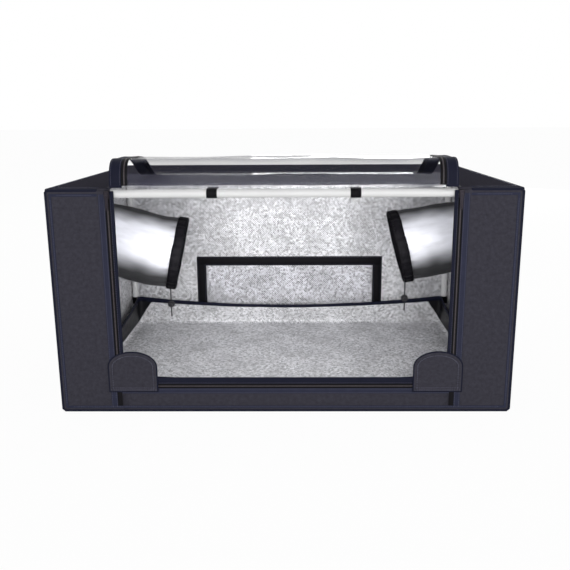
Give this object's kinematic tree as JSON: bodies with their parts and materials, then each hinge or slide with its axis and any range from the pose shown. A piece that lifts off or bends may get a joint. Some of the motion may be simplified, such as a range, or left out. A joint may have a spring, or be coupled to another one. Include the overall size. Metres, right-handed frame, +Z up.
{
  "type": "fabric plant propagation tent",
  "caption": "Table-top fabric tent for raising plants: tube frame, clear zip door folded back on the roof, drawstring duct socks, back vent and floor tray.",
  "frame": {"origin": "middle of the footprint, on the surface that the tent stands on", "axes": "+X to the right seen from the front, +Y to the back, +Z up"},
  "size_m": [0.903, 0.6082, 0.5033],
  "materials": {
    "powder_coated_tube": "white powder coat on steel tube",
    "connector_plastic": "moulded",
    "black_oxford": "woven polyester, silver film inside",
    "clear_pvc": "clear film",
    "black_webbing": "woven tape",
    "silver_sleeve": "silver film",
    "silver_liner": "waterproof film",
    "zip_coil": "nylon coil",
    "zip_metal": "die-cast, worn lacquer",
    "drawcord": "braided cord",
    "lock_plastic": "moulded"
  },
  "bodies": {
    "shell": {"back_wall": "black_oxford", "connectors_bottom": "connector_plastic", "connectors_top": "connector_plastic", "door_header": "clear_pvc", "drawcord_left": "drawcord", "drawcord_right": "drawcord", "duct_cuff_left": "black_webbing", "duct_cuff_right": "black_webbing", "duct_sock_left": "silver_sleeve", "duct_sock_right": "silver_sleeve", "floor_panel": "black_oxford", "front_left_strip": "black_oxford", "front_right_strip": "black_oxford", "front_sill": "black_oxford", "left_wall": "black_oxford", "pole_strap_left": "black_webbing", "pole_strap_right": "black_webbing", "port_ring_left": "black_webbing", "port_ring_right": "black_webbing", "post_back_left": "powder_coated_tube", "post_back_right": "powder_coated_tube", "post_front_left": "powder_coated_tube", "post_front_right": "powder_coated_tube", "rail_bottom_back": "powder_coated_tube", "rail_bottom_front": "powder_coated_tube", "rail_bottom_left": "powder_coated_tube", "rail_bottom_right": "powder_coated_tube", "rail_top_back": "powder_coated_tube", "rail_top_front": "powder_coated_tube", "rail_top_left": "powder_coated_tube", "rail_top_right": "powder_coated_tube", "right_wall": "black_oxford", "roof_panel": "black_oxford", "roof_window": "clear_pvc", "vent_tape_frame": "black_webbing", "zip_track_bottom": "zip_coil", "zip_track_left": "zip_coil", "zip_track_right": "zip_coil"},
    "door_1": {"door_window_1": "clear_pvc", "door_bands_1": "black_oxford"},
    "door_2": {"door_window_2": "clear_pvc", "door_bands_2": "black_oxford"},
    "door_3": {"door_window_3": "clear_pvc", "door_bands_3": "black_oxford"},
    "door_4": {"door_window_4": "clear_pvc", "door_hem": "black_oxford"},
    "vent_flap": {"vent_flap": "black_oxford"},
    "floor_tray": {"floor_tray": "silver_liner", "tray_walls": "silver_liner", "tray_binding": "black_webbing", "tray_ties": "black_webbing"},
    "zip_slider_left": {"zip_slider_left": "zip_metal"},
    "corner_flap_left": {"corner_flap_left": "black_oxford"},
    "cord_lock_left": {"cord_lock_left": "lock_plastic"},
    "cord_lock_button_left": {"cord_lock_button_left": "lock_plastic"},
    "zip_slider_right": {"zip_slider_right": "zip_metal"},
    "corner_flap_right": {"corner_flap_right": "black_oxford"},
    "cord_lock_right": {"cord_lock_right": "lock_plastic"},
    "cord_lock_button_right": {"cord_lock_button_right": "lock_plastic"}
  },
  "joints": [
    {"name": "door_hinge", "type": "hinge", "parent": "shell", "child": "door_1", "pos_m": [0, -0.305, 0.4515], "axis": [1, 0, 0], "range_deg": [0, 190]},
    {"name": "door_fold_1", "type": "hinge", "parent": "door_1", "child": "door_2", "pos_m": [0, -0.29701, 0.4968], "axis": [1, 0, 0], "range_deg": [0, 77.5]},
    {"name": "door_fold_2", "type": "hinge", "parent": "door_2", "child": "door_3", "pos_m": [0, -0.16714, 0.50247], "axis": [1, 0, 0], "range_deg": [0, 26.01]},
    {"name": "door_fold_3", "type": "hinge", "parent": "door_3", "child": "door_4", "pos_m": [0, -0.05252, 0.4526], "axis": [-1, 0, 0], "range_deg": [0, 22.65]},
    {"name": "vent_flap_hinge", "type": "hinge", "parent": "shell", "child": "vent_flap", "pos_m": [0, 0.30105, 0.179], "axis": [1, 0, 0], "range_deg": [0, 165]},
    {"name": "tray_lift", "type": "slide", "parent": "shell", "child": "floor_tray", "axis": [0, 0, 1], "range_m": [0, 0.08]},
    {"name": "zip_slide_left", "type": "slide", "parent": "shell", "child": "zip_slider_left", "axis": [0, 0, -1], "range_m": [0, 0.27]},
    {"name": "corner_flap_hinge_left", "type": "hinge", "parent": "shell", "child": "corner_flap_left", "pos_m": [-0.301, -0.3033, 0.045], "axis": [1, 0, 0], "range_deg": [0, 115]},
    {"name": "cord_lock_slide_left", "type": "slide", "parent": "shell", "child": "cord_lock_left", "axis": [0, 0, 1], "range_m": [0, 0.02]},
    {"name": "cord_lock_press_left", "type": "slide", "parent": "cord_lock_left", "child": "cord_lock_button_left", "axis": [0, 1, 0], "range_m": [0, 0.0025]},
    {"name": "zip_slide_right", "type": "slide", "parent": "shell", "child": "zip_slider_right", "axis": [0, 0, -1], "range_m": [0, 0.27]},
    {"name": "corner_flap_hinge_right", "type": "hinge", "parent": "shell", "child": "corner_flap_right", "pos_m": [0.301, -0.3033, 0.045], "axis": [1, 0, 0], "range_deg": [0, 115]},
    {"name": "cord_lock_slide_right", "type": "slide", "parent": "shell", "child": "cord_lock_right", "axis": [0, 0, 1], "range_m": [0, 0.02]},
    {"name": "cord_lock_press_right", "type": "slide", "parent": "cord_lock_right", "child": "cord_lock_button_right", "axis": [0, 1, 0], "range_m": [0, 0.0025]}
  ],
  "couplings": [
    {"joint": "door_fold_1", "follows": "door_hinge", "ratio": 0.40789},
    {"joint": "door_fold_2", "follows": "door_hinge", "ratio": 0.13691},
    {"joint": "door_fold_3", "follows": "door_hinge", "ratio": 0.11919}
  ]
}
